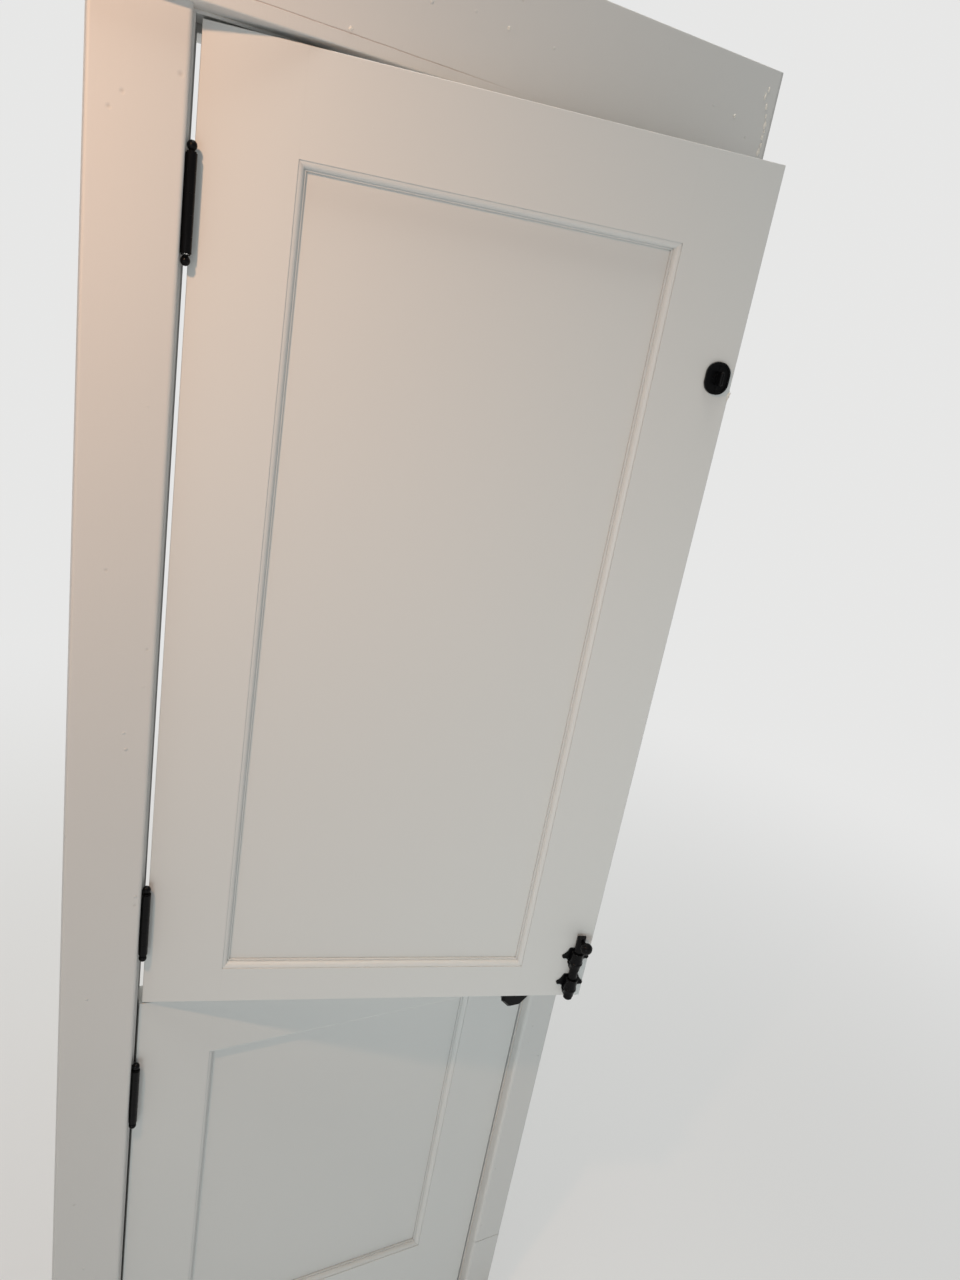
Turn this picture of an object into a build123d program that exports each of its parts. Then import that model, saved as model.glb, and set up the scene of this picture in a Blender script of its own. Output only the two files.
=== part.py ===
from build123d import *
import math
import os

# A stable door: two leaves, one above the other, hung on ball-tip butt hinges in their own frame.
# +X runs from the hinge side to the latch side, +Y goes into the wall, +Z is up, all in millimetres.
# The origin is the foot of the hinge jamb, on its outer face and level with the wall's front.

# Driving dimensions: the two leaves
leaf_width = 610.0
leaf_thick = 35.0
upper_height = 1116.0
lower_height = 913.0
meeting_gap = 3.0
side_gap = 3.0
head_gap = 3.0
floor_gap = 12.0
ajar_angle = 14.5

# Stiles, rails and the flat panels between them
hinge_stile = 97.0
upper_latch_stile = 98.5
lower_latch_stile = 103.5
upper_top_rail = 97.5
upper_bottom_rail = 52.5
lower_top_rail = 104.5
lower_bottom_rail = 250.0
panel_thick = 13.0
groove_depth = 13.0
panel_fit = 0.15
panel_room = 1.5
cope_gap = 0.03
leaf_arris = 1.0

# The moulded edge around each panel: a quirk, an ovolo and a fillet
quirk_depth = 1.2
quirk_land = 0.7
ovolo_width = 5.6
ovolo_depth = 6.8
fillet_land = 1.9

# Frame
jamb_thick = 19.0
jamb_depth = 116.0
head_housing = 6.0
stop_thick = 8.0
stop_width = 35.0
stop_gap = 1.5

# Casings on the front of the frame
casing_thick = 18.0
left_casing_width = 88.0
right_casing_width = 54.0
casing_reveal = 5.0
right_reveal = 2.0
head_reveal = 3.0
head_casing_thick = 30.0
head_casing_height = 119.0
head_casing_short = 3.0
inner_arris = 5.0
outer_arris = 3.0
head_arris = 1.5
foot_height = 242.0
foot_proud = 0.6
trim_joint = 0.2

# Butt hinges with ball tips
hinge_length = 88.9
plate_width = 35.0
plate_thick = 2.2
pin_forward = 10.5
knuckle_radius = 5.5
end_knuckle = 15.3
knuckle_gap = 0.3
pin_radius = 2.6
pin_clearance = 0.05
plate_clearance = 0.4
ball_radius = 4.9
ball_reach = 6.2
tip_neck_radius = 2.9
tip_collar_radius = 4.6
tip_collar_thick = 1.2
mortise_fit = 0.1
hinge_1_below_top = 158.0
hinge_2_above_bottom = 130.5
hinge_3_below_top = 143.5
hinge_4_above_bottom = 178.0
hinge_screw_pitch = 28.0
hinge_screw_setback = 11.0
hinge_screw_stagger = 8.0

# Countersunk screws
hinge_screw_head = 4.2
small_screw_head = 2.7
screw_shank_share = 0.5
hinge_screw_length = 18.0
small_screw_length = 9.0
screw_slot_width = 0.9
screw_slot_depth = 0.8
screw_fit = 0.1

# Surface bolt at the latch side of the meeting edge
bolt_backset = 20.8
bolt_radius = 6.5
bolt_flat = 2.0
bolt_fit = 0.1
bolt_plate_thick = 2.4
bolt_axis_height = 7.4
bracket_length = 29.0
bracket_low_centre = 25.2
bracket_spacing = 45.5
bolt_above_knob = 8.1
bolt_tip_above_bottom = 2.2
bolt_throw = 14.2
bolt_tip_chamfer = 1.5
bolt_top_arris = 0.8
bracket_shoulder = 11.4
bracket_waist = 9.9
bracket_foot = 8.0
bracket_corner = 1.4
bracket_tip = 20.0
bracket_tip_rise = 0.3
bracket_lobe = 3.3
strap_radius = 8.6
strap_ridge_radius = 9.6
strap_ridge_width = 2.2
strap_rim_radius = 9.2
strap_bead_width = 1.6
strap_setback = 2.0
strap_tail = 2.6
strap_tail_radius = 7.4
bolt_knob_collar = 4.1
bolt_knob_room = 0.5
bolt_knob_reach = 17.8
bolt_knob_radius = 8.6
bolt_knob_stem_radius = 3.1
bolt_knob_lean = 7.5
bracket_screw_out = 15.6
keeper_length = 17.0
keeper_below_top = 1.5
keeper_fit = 0.4

# Turn-piece and the small bolt that it drives in the edge of the upper leaf
turn_below_top = 229.5
turn_backset = 20.5
turn_plate_half_width = 15.0
turn_plate_half_height = 18.3
turn_corner_share = 0.92
turn_plate_thick = 1.8
turn_rim_height = 3.2
turn_rim_width = 2.2
turn_boss_radius = 5.6
turn_boss_height = 4.4
turn_screw_pitch = 23.8
turn_stem_radius = 3.4
turn_blade_length = 16.0
turn_blade_thick = 4.6
turn_blade_reach = 15.0
turn_clearance = 0.3
edge_bolt_radius = 4.7
edge_bolt_proud = 1.5
edge_bolt_throw = 12.0
edge_case_radius = 7.8
edge_case_length = 46.0
edge_face_radius = 11.5
edge_face_thick = 2.0
spindle_radius = 2.4
spindle_room = 0.5
edge_bolt_tail = 4.0

# Octagonal knobs and the latch of the lower leaf
knob_backset = 61.5
knob_below_top = 57.4
knob_flats = 48.0
knob_rise = 41.0
knob_thick = 26.0
knob_neck_radius = 9.5
knob_face_share = 0.86
knob_back_share = 0.66
knob_belly_share = 0.84
rosette_radius = 27.0
rosette_thick = 6.0
rosette_bore_radius = 10.0
knob_spindle_width = 8.0
spindle_fit = 0.1
knob_hub_radius = 7.5
latch_case_radius = 11.0
latch_case_length = 76.0
latch_bore_fit = 0.3
latch_face_width = 25.4
latch_face_height = 57.0
latch_face_thick = 2.2
latch_screw_pitch = 41.0
tongue_width = 11.0
tongue_height = 14.0
tongue_throw = 11.0
tongue_sunk = 0.4
tongue_fit = 0.3
tongue_length = 34.0

# Strikes on the latch jamb
strike_thick = 1.6
strike_width = 27.0
strike_height = 57.0
strike_room = 1.5
strike_bore_depth = 15.0
edge_strike_half_height = 21.0

# Worked out from the values above
up = Vector(0, 0, 1)
x_leaf = jamb_thick + side_gap
x_leaf_end = x_leaf + leaf_width
x_strike = x_leaf_end + side_gap
x_end = x_strike + jamb_thick
z_low = floor_gap
z_low_top = z_low + lower_height
z_up = z_low_top + meeting_gap
z_up_top = z_up + upper_height
z_head = z_up_top + head_gap
z_head_top = z_head + jamb_thick
z_casing_top = z_head + head_reveal
panel_recess = (leaf_thick - panel_thick) / 2
sticking_width = quirk_land + ovolo_width + fillet_land
fillet_depth = quirk_depth + ovolo_depth
mid_leaf = leaf_thick / 2
pin_x = x_leaf - side_gap / 2
pin_y = -pin_forward

ajar = (
    Location((pin_x, pin_y, 0))
    * Rotation(0, 0, -ajar_angle)
    * Location((-pin_x, -pin_y, 0))
)


def block(x0, x1, y0, y1, z0, z1):
    """A plain board between two corners."""
    size = (x1 - x0, y1 - y0, z1 - z0)
    return Pos(x0, y0, z0) * Box(*size, align=(Align.MIN, Align.MIN, Align.MIN))


def rod(radius, start, end):
    """A round bar between two points."""
    start, end = Vector(*start), Vector(*end)
    plane = Plane(origin=start, z_dir=end - start)
    return plane.location * Cylinder(
        radius, (end - start).length, align=(Align.CENTER, Align.CENTER, Align.MIN)
    )


def turned(points, origin, direction):
    """A turned piece: (radius, height) points revolved about a line from origin."""
    line = Polyline(*[(radius, 0, height) for radius, height in points], close=True)
    piece = revolve(make_face(line), Axis.Z)
    return Plane(origin=origin, z_dir=direction).location * piece


def moulded_section(width):
    """Section of a stile or rail: X from its outer edge to its moulded edge, Y through the door."""
    lip = width + sticking_width
    toe = width + quirk_land
    heel = toe + ovolo_width
    bend = math.sin(math.radians(45))
    crest = (toe + ovolo_width * bend, fillet_depth - ovolo_depth * bend)
    groove_side = panel_recess - panel_fit
    front = Polyline((0, mid_leaf), (0, 0), (width, 0), (width, quirk_depth), (toe, quirk_depth))
    front += ThreePointArc((toe, quirk_depth), crest, (heel, fillet_depth))
    front += Polyline(
        (heel, fillet_depth),
        (lip, fillet_depth),
        (lip, groove_side),
        (lip - groove_depth, groove_side),
        (lip - groove_depth, mid_leaf),
    )
    middle = Plane(origin=(0, mid_leaf, 0), x_dir=(1, 0, 0), z_dir=(0, 1, 0))
    return make_face(front.edges() + mirror(front, about=middle).edges())


def member(width, length, origin, across, along):
    """A stile or rail run along a line, its moulded edge towards across."""
    piece = extrude(moulded_section(width), amount=length)
    return Plane(origin=origin, x_dir=across, z_dir=along).location * piece


def leaf(bottom, height, latch_width, top_width, bottom_width):
    """Two stiles, two coped rails with stub tenons, and a flat panel held in their grooves."""
    top = bottom + height
    hinge_side = member(hinge_stile, height, (x_leaf, 0, bottom), (1, 0, 0), (0, 0, 1))
    latch_side = member(latch_width, height, (x_leaf_end, 0, top), (-1, 0, 0), (0, 0, -1))
    tenon_root = sticking_width - groove_depth + panel_room
    x0 = x_leaf + hinge_stile + tenon_root
    x1 = x_leaf_end - latch_width - tenon_root
    eased = block(x_leaf, x_leaf_end, 0, leaf_thick, bottom, top)
    eased = fillet(eased.faces().filter_by(Axis.Y).edges(), leaf_arris)
    top_rail = member(top_width, x1 - x0, (x0, 0, top), (0, 0, -1), (1, 0, 0))
    bottom_rail = member(bottom_width, x1 - x0, (x1, 0, bottom), (0, 0, 1), (-1, 0, 0))
    copes = [Pos(cope_gap, 0, 0) * hinge_side, Pos(-cope_gap, 0, 0) * latch_side]
    top_rail = ((top_rail - copes[0] - copes[1]) & eased).solid()
    bottom_rail = ((bottom_rail - copes[0] - copes[1]) & eased).solid()
    panel = block(
        x0,
        x1,
        panel_recess,
        leaf_thick - panel_recess,
        bottom + bottom_width + tenon_root,
        top - top_width - tenon_root,
    )
    return hinge_side & eased, latch_side & eased, top_rail, bottom_rail, panel


def screw(point, direction, head_radius, length):
    """A slotted countersunk screw, its head's face at point and looking along direction."""
    shank = head_radius * screw_shank_share
    cone = head_radius - shank
    body = turned(
        [(0, 0), (head_radius, 0), (shank, -cone), (shank, -length + shank), (0, -length)],
        point,
        direction,
    )
    slot = Box(3 * head_radius, screw_slot_width, 2 * screw_slot_depth)
    return body - Plane(origin=point, z_dir=direction).location * slot


def screw_hole(point, direction, head_radius, length):
    """The countersunk hole that a screw sits in."""
    wide = head_radius + screw_fit
    shank = head_radius * screw_shank_share + screw_fit
    cone = wide - shank
    deep = length + screw_fit
    return turned([(0, 0.5), (wide, 0.5), (wide, 0), (shank, -cone), (shank, -deep), (0, -deep)],
                  point, direction)


def hinge_screw_places(middle):
    """Height and depth of the three staggered screws of one hinge plate."""
    edge = hinge_screw_setback
    far = edge + hinge_screw_stagger
    return [(middle - hinge_screw_pitch, edge), (middle, far), (middle + hinge_screw_pitch, edge)]


def knuckle_spans(middle):
    """Bottom and top of the five knuckles, from the lowest up."""
    low = middle - hinge_length / 2
    inner = (hinge_length - 2 * end_knuckle - 4 * knuckle_gap) / 3
    spans = []
    for length in (end_knuckle, inner, inner, inner, end_knuckle):
        spans.append((low, low + length))
        low += length + knuckle_gap
    return spans


def hinge_plate(middle, x_face, x_seat, own, screws_toward):
    """One leaf of a butt hinge: a plate let into the wood, rolled round the pin at its knuckles."""
    x0, x1 = sorted((x_face, x_seat))
    low, high = middle - hinge_length / 2, middle + hinge_length / 2
    plate_front = pin_y + knuckle_radius + plate_clearance
    plate = block(x0, x1, plate_front, plate_front + plate_width, low, high)
    for bottom, top in [knuckle_spans(middle)[index] for index in own]:
        plate += block(x0, x1, pin_y, plate_front, bottom, top)
        plate += rod(knuckle_radius, (pin_x, pin_y, bottom), (pin_x, pin_y, top))
    plate -= rod(pin_radius + pin_clearance, (pin_x, pin_y, low - 1), (pin_x, pin_y, high + 1))
    for z, y in hinge_screw_places(middle):
        plate -= screw_hole((x_face, y, z), screws_toward, hinge_screw_head, hinge_screw_length)
    return plate


def ball_tip(end_z, way):
    """The turned collar, neck and ball past one end of the knuckles; way is 1 up or -1 down."""
    start = end_z + way * knuckle_gap
    collar = rod(tip_collar_radius, (pin_x, pin_y, start),
                 (pin_x, pin_y, start + way * tip_collar_thick))
    neck = rod(tip_neck_radius, (pin_x, pin_y, start), (pin_x, pin_y, start + way * ball_reach))
    ball = Pos(pin_x, pin_y, start + way * ball_reach) * Sphere(ball_radius)
    return collar + neck + ball


def hinge_pin(middle):
    """The loose pin: a shank through the five knuckles with a ball tip on top."""
    low, high = middle - hinge_length / 2, middle + hinge_length / 2
    shank = rod(pin_radius, (pin_x, pin_y, low), (pin_x, pin_y, high + knuckle_gap))
    return shank + ball_tip(high, 1)


def plate_mortise(middle, x_face, depth_way):
    """The shallow recess in the wood that a hinge plate lies in."""
    x0, x1 = sorted((x_face - depth_way, x_face + depth_way * (plate_thick + mortise_fit)))
    half = hinge_length / 2 + mortise_fit
    back = pin_y + knuckle_radius + plate_clearance + plate_width + mortise_fit
    return block(x0, x1, -1, back, middle - half, middle + half)


def half_round(radius, flat, x_axis, low, high):
    """A bar with a flat back, as the bolt is: flat is how far the back lies behind the axis."""
    bar = rod(radius, (x_axis, -bolt_axis_height, low), (x_axis, -bolt_axis_height, high))
    back = flat - bolt_axis_height
    return bar - block(x_axis - 2 * radius, x_axis + 2 * radius, back, radius, low, high)


def bolt_bracket(middle, length, fit, x_axis, tip_rise):
    """A cast bracket: a scalloped plate with pointed wings and a waisted strap over the bolt."""
    half = length / 2
    wing_root = bracket_tip - 0.75 * bracket_lobe
    lobe_top, lobe_low = tip_rise + bracket_lobe, tip_rise - bracket_lobe
    corner = half - bracket_corner
    elbow = -0.5 * half
    side = Polyline(
        (0, half), (bracket_shoulder - bracket_corner, half), (bracket_shoulder, corner))
    side += ThreePointArc(
        (bracket_shoulder, corner),
        (0.58 * bracket_shoulder + 0.42 * wing_root - 0.7, 0.52 * corner + 0.48 * lobe_top),
        (wing_root, lobe_top),
    )
    side += ThreePointArc((wing_root, lobe_top), (bracket_tip, tip_rise), (wing_root, lobe_low))
    side += ThreePointArc(
        (wing_root, lobe_low),
        (0.72 * bracket_waist + 0.28 * wing_root, 0.75 * lobe_low + 0.25 * elbow),
        (bracket_waist, elbow),
    )
    side += Polyline(
        (bracket_waist, elbow), (bracket_waist, 1.5 * elbow), (bracket_foot, -half), (0, -half))
    outline = make_face(side.edges() + mirror(side, about=Plane.YZ).edges())
    plate = extrude(outline, amount=bolt_plate_thick)
    place = Plane(origin=(x_axis, 0, middle), x_dir=(1, 0, 0), z_dir=(0, -1, 0)).location
    plate = place * plate

    reach = half - strap_setback
    foot = half + strap_tail
    ridge = -0.3 * half
    ridge_low = ridge - strap_ridge_width
    strap = turned(
        [
            (0, -foot),
            (strap_tail_radius, -foot),
            (strap_tail_radius, -foot + 1.6),
            (strap_tail_radius + 0.3, 0.5 * (ridge_low - foot)),
            (strap_radius, ridge_low - 0.8),
            (strap_ridge_radius, ridge_low),
            (strap_ridge_radius, ridge),
            (strap_radius + 0.4, ridge + 0.7),
            (strap_radius, 0.5 * (ridge + reach)),
            (strap_radius + 0.2, reach - strap_bead_width),
            (strap_rim_radius, reach - 0.75 * strap_bead_width),
            (strap_rim_radius, reach - 0.25 * strap_bead_width),
            (strap_rim_radius - 0.4, reach),
            (0, reach),
        ],
        (x_axis, -bolt_axis_height, middle),
        up,
    )
    strap += block(
        x_axis - strap_tail_radius,
        x_axis + strap_tail_radius,
        -bolt_axis_height,
        0,
        middle - foot,
        middle + reach,
    )
    wide = 2 * strap_ridge_radius
    strap &= block(x_axis - wide, x_axis + wide, -3 * wide, 0, middle - foot, middle + half)
    bracket = plate + strap
    bracket -= half_round(
        bolt_radius + fit, bolt_flat + fit, x_axis, middle - length, middle + length)
    for side_way in (-1, 1):
        hole = (x_axis + side_way * bracket_screw_out, -bolt_plate_thick, middle + tip_rise)
        bracket -= screw_hole(hole, (0, -1, 0), small_screw_head, small_screw_length)
    return bracket.solid()


def bracket_screws(middle, x_axis, tip_rise):
    """The two wing screws of one bracket."""
    screws = []
    for side_way in (-1, 1):
        place = (x_axis + side_way * bracket_screw_out, -bolt_plate_thick, middle + tip_rise)
        screws.append(screw(place, (0, -1, 0), small_screw_head, small_screw_length))
    return screws


def octagon_knob(face_y, way):
    """A faceted knob: three octagons lofted, on a round neck; way is -1 front or 1 back."""
    x, z = x_leaf_end - knob_backset, z_low_top - knob_below_top
    rise = face_y + way * knob_rise
    belly = rise + way * knob_thick * knob_belly_share
    crown = rise + way * knob_thick

    def octagon(y, flats):
        plane = Plane(origin=(x, y, z), x_dir=(1, 0, 0), z_dir=(0, way, 0))
        corner = flats / 2 / math.cos(math.radians(22.5))
        return plane.location * RegularPolygon(corner, 8, rotation=22.5)

    back = loft([octagon(rise, knob_flats * knob_back_share), octagon(belly, knob_flats)])
    face = loft([octagon(belly, knob_flats), octagon(crown, knob_flats * knob_face_share)])
    knob = back + face
    neck_start = face_y + way * (rosette_thick + turn_clearance)
    knob += rod(knob_neck_radius, (x, neck_start, z), (x, rise + way, z))
    return knob, (x, z, neck_start, rise)


def assemble():
    """Every piece by name, in the pose that the door stands in."""
    parts = {}

    # The four hinge heights, two on each leaf
    hinges = {
        1: z_up_top - hinge_1_below_top,
        2: z_up + hinge_2_above_bottom,
        3: z_low_top - hinge_3_below_top,
        4: z_low + hinge_4_above_bottom,
    }
    turn_z = z_up_top - turn_below_top
    knob_x = x_leaf_end - knob_backset
    knob_z = z_low_top - knob_below_top
    latch_y = mid_leaf

    # Frame: two side jambs housed to take the head
    hinge_jamb = block(0, jamb_thick, 0, jamb_depth, 0, z_head_top)
    strike_jamb = block(x_strike, x_end, 0, jamb_depth, 0, z_head_top)
    head_x0, head_x1 = jamb_thick - head_housing, x_strike + head_housing
    head_jamb = block(head_x0, head_x1, 0, jamb_depth, z_head, z_head_top)
    housing = block(head_x0, head_x1, -1, jamb_depth + 1, z_head, z_head_top + 1)
    hinge_jamb -= housing
    strike_jamb -= housing
    for z in hinges.values():
        hinge_jamb -= plate_mortise(z, jamb_thick, -1)
        for screw_z, y in hinge_screw_places(z):
            place = (jamb_thick, y, screw_z)
            hinge_jamb -= screw_hole(place, (1, 0, 0), hinge_screw_head, hinge_screw_length)

    # Holes in the latch jamb for the tongue and for the edge bolt
    strike_jamb -= block(
        x_strike - 1,
        x_strike + strike_thick + mortise_fit,
        latch_y - strike_width / 2 - mortise_fit,
        latch_y + strike_width / 2 + mortise_fit,
        knob_z - strike_height / 2 - mortise_fit,
        knob_z + strike_height / 2 + mortise_fit,
    )
    tongue_hole = (
        latch_y - tongue_width / 2 - strike_room,
        latch_y + tongue_width / 2 + strike_room,
        knob_z - tongue_height / 2 - strike_room,
        knob_z + tongue_height / 2 + strike_room,
    )
    strike_jamb -= block(x_strike - 1, x_strike + strike_bore_depth, *tongue_hole)
    strike_jamb -= block(
        x_strike - 1,
        x_strike + strike_thick + mortise_fit,
        latch_y - edge_face_radius - mortise_fit,
        latch_y + edge_face_radius + mortise_fit,
        turn_z - edge_strike_half_height - mortise_fit,
        turn_z + edge_strike_half_height + mortise_fit,
    )
    edge_hole_radius = edge_bolt_radius + strike_room
    edge_hole = rod(
        edge_hole_radius,
        (x_strike - 1, latch_y, turn_z),
        (x_strike + strike_bore_depth, latch_y, turn_z),
    )
    strike_jamb -= edge_hole
    strike_screw_z = strike_height / 2 - 8.0
    edge_screw_z = edge_strike_half_height - 6.0
    strike_screw_spots = [
        (x_strike, latch_y, knob_z - strike_screw_z),
        (x_strike, latch_y, knob_z + strike_screw_z),
        (x_strike, latch_y, turn_z - edge_screw_z),
        (x_strike, latch_y, turn_z + edge_screw_z),
    ]
    latch_strike = block(
        x_strike,
        x_strike + strike_thick,
        latch_y - strike_width / 2,
        latch_y + strike_width / 2,
        knob_z - strike_height / 2,
        knob_z + strike_height / 2,
    ) - block(x_strike - 1, x_strike + strike_bore_depth, *tongue_hole)
    edge_strike = block(
        x_strike,
        x_strike + strike_thick,
        latch_y - edge_face_radius,
        latch_y + edge_face_radius,
        turn_z - edge_strike_half_height,
        turn_z + edge_strike_half_height,
    ) - edge_hole
    strike_screws = []
    for number, spot in enumerate(strike_screw_spots):
        hole = screw_hole(spot, (-1, 0, 0), small_screw_head, small_screw_length)
        strike_jamb -= hole
        if number < 2:
            latch_strike -= hole
        else:
            edge_strike -= hole
        strike_screws.append(screw(spot, (-1, 0, 0), small_screw_head, small_screw_length))

    parts["hinge_jamb"] = hinge_jamb
    parts["strike_jamb"] = strike_jamb
    parts["head_jamb"] = head_jamb
    parts["latch_strike"] = latch_strike
    parts["edge_bolt_strike"] = edge_strike
    parts["strike_screws"] = strike_screws

    # Stops: the head stop runs across, the side stops stand under it
    stop_y0 = leaf_thick + stop_gap
    stop_y1 = stop_y0 + stop_width
    z_stop = z_head - stop_thick
    parts["hinge_stop"] = block(jamb_thick, jamb_thick + stop_thick, stop_y0, stop_y1, 0, z_stop)
    parts["strike_stop"] = block(x_strike - stop_thick, x_strike, stop_y0, stop_y1, 0, z_stop)
    parts["head_stop"] = block(jamb_thick, x_strike, stop_y0, stop_y1, z_stop, z_head)

    # Casings: flat boards with eased arrises, the head board thicker and laid on the side boards
    left_x1 = jamb_thick - casing_reveal
    left_x0 = left_x1 - left_casing_width
    right_x0 = x_strike + right_reveal
    right_x1 = right_x0 + right_casing_width

    def casing(x0, x1, thick, z0, z1, inner_right):
        section = Pos((x0 + x1) / 2, -thick / 2) * Rectangle(x1 - x0, thick)
        front = section.vertices().group_by(Axis.Y)[0].sort_by(Axis.X)
        left_radius, right_radius = (
            (outer_arris, inner_arris) if inner_right else (inner_arris, outer_arris)
        )
        section = fillet(front[0], left_radius)
        front = section.vertices().group_by(Axis.Y)[0].sort_by(Axis.X)
        section = fillet(front[-1], right_radius)
        return Pos(0, 0, z0) * extrude(section, amount=z1 - z0)

    parts["left_casing"] = casing(left_x0, left_x1, casing_thick, 0, z_casing_top, True)
    right = casing(right_x0, right_x1, casing_thick, foot_height + trim_joint, z_casing_top, False)
    parts["right_casing"] = right
    foot = casing(right_x0, right_x1, casing_thick + foot_proud, 0, foot_height, False)
    parts["right_casing_foot"] = foot
    head_section = Plane.YZ * (
        Pos(-head_casing_thick / 2, z_casing_top + head_casing_height / 2)
        * Rectangle(head_casing_thick, head_casing_height)
    )
    head_section = fillet(head_section.vertices().group_by(Axis.Y)[0], head_arris)
    head_end = right_x1 - head_casing_short
    parts["head_casing"] = Pos(left_x0, 0, 0) * extrude(head_section, amount=head_end - left_x0)

    # Leaves, built closed
    upper = leaf(z_up, upper_height, upper_latch_stile, upper_top_rail, upper_bottom_rail)
    lower = leaf(z_low, lower_height, lower_latch_stile, lower_top_rail, lower_bottom_rail)
    upper_hinge_side, upper_latch_side, upper_top, upper_bottom, upper_panel = upper
    lower_hinge_side, lower_latch_side, lower_top, lower_bottom, lower_panel = lower

    # Hinges: the frame plate, the leaf plate, the pin and its lower tip
    frame_own, leaf_own = (0, 2, 4), (1, 3)
    frame_screws, upper_hinge_screws, lower_hinge_screws, tips = [], [], [], []
    for number, z in hinges.items():
        on_upper = number < 3
        jamb_seat = jamb_thick - plate_thick
        leaf_seat = x_leaf + plate_thick
        frame_plate = hinge_plate(z, jamb_thick, jamb_seat, frame_own, (1, 0, 0))
        leaf_plate = hinge_plate(z, x_leaf, leaf_seat, leaf_own, (-1, 0, 0))
        cut = plate_mortise(z, x_leaf, 1)
        for screw_z, y in hinge_screw_places(z):
            frame_spot, leaf_spot = (jamb_thick, y, screw_z), (x_leaf, y, screw_z)
            frame_screws.append(
                screw(frame_spot, (1, 0, 0), hinge_screw_head, hinge_screw_length - 1))
            leaf_screw = screw(leaf_spot, (-1, 0, 0), hinge_screw_head, hinge_screw_length)
            cut += screw_hole(leaf_spot, (-1, 0, 0), hinge_screw_head, hinge_screw_length)
            (upper_hinge_screws if on_upper else lower_hinge_screws).append(leaf_screw)
        if on_upper:
            upper_hinge_side -= cut
            leaf_plate = ajar * leaf_plate
        else:
            lower_hinge_side -= cut
        parts[f"hinge_{number}_frame_plate"] = frame_plate
        parts[f"hinge_{number}_leaf_plate"] = leaf_plate
        parts[f"hinge_{number}_pin"] = hinge_pin(z)
        tips.append(ball_tip(z - hinge_length / 2, -1))
    parts["hinge_lower_tips"] = tips
    parts["frame_hinge_screws"] = frame_screws
    parts["upper_hinge_screws"] = [ajar * piece for piece in upper_hinge_screws]
    parts["lower_hinge_screws"] = lower_hinge_screws

    # Surface bolt on the upper leaf, and its keeper on the lower leaf
    bolt_x = x_leaf_end - bolt_backset
    low_z = z_up + bracket_low_centre
    high_z = low_z + bracket_spacing
    axis_y = -bolt_axis_height
    low_bracket = bolt_bracket(low_z, bracket_length, bolt_fit, bolt_x, bracket_tip_rise)
    high_bracket = bolt_bracket(high_z, bracket_length, bolt_fit, bolt_x, bracket_tip_rise)
    bracket_screw_set = bracket_screws(low_z, bolt_x, bracket_tip_rise)
    bracket_screw_set += bracket_screws(high_z, bolt_x, bracket_tip_rise)
    bracket_end = high_z + bracket_length / 2 - strap_setback
    bolt_knob_z = bracket_end + bolt_throw + bolt_knob_collar + bolt_knob_room
    bolt_top = bolt_knob_z + bolt_above_knob
    bolt_low = z_up + bolt_tip_above_bottom
    bolt = half_round(bolt_radius, bolt_flat, bolt_x, bolt_low, bolt_top)
    bolt = chamfer(bolt.faces().sort_by(Axis.Z)[0].edges(), bolt_tip_chamfer)
    bolt = fillet(bolt.faces().sort_by(Axis.Z)[-1].edges(), bolt_top_arris)
    knob_way = Vector(0, -1, 0).rotate(Axis.Z, bolt_knob_lean)
    reach, radius, stem = bolt_knob_reach, bolt_knob_radius, bolt_knob_stem_radius
    seat = bolt_radius - 1.0
    bolt_knob = turned(
        [
            (0, seat),
            (bolt_knob_collar, seat),
            (bolt_knob_collar, seat + 1.8),
            (stem, seat + 2.4),
            (stem, reach - 0.86 * radius),
            (0.72 * radius, reach - 0.66 * radius),
            (0.95 * radius, reach - 0.30 * radius),
            (radius, reach),
            (0.95 * radius, reach + 0.30 * radius),
            (0.72 * radius, reach + 0.62 * radius),
            (0.40 * radius, reach + 0.80 * radius),
            (0, reach + 0.86 * radius),
        ],
        (bolt_x, axis_y, bolt_knob_z),
        knob_way,
    )
    bolt_knob -= bolt
    keeper_z = z_low_top - keeper_below_top - keeper_length / 2
    keeper = bolt_bracket(keeper_z, keeper_length, keeper_fit, bolt_x, 0.0)

    for hole_z in (low_z + bracket_tip_rise, high_z + bracket_tip_rise):
        for way in (-1, 1):
            spot = (bolt_x + way * bracket_screw_out, -bolt_plate_thick, hole_z)
            upper_latch_side -= screw_hole(
                spot, (0, -1, 0), small_screw_head, small_screw_length)
    for way in (-1, 1):
        spot = (bolt_x + way * bracket_screw_out, -bolt_plate_thick, keeper_z)
        lower_latch_side -= screw_hole(spot, (0, -1, 0), small_screw_head, small_screw_length)

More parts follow.
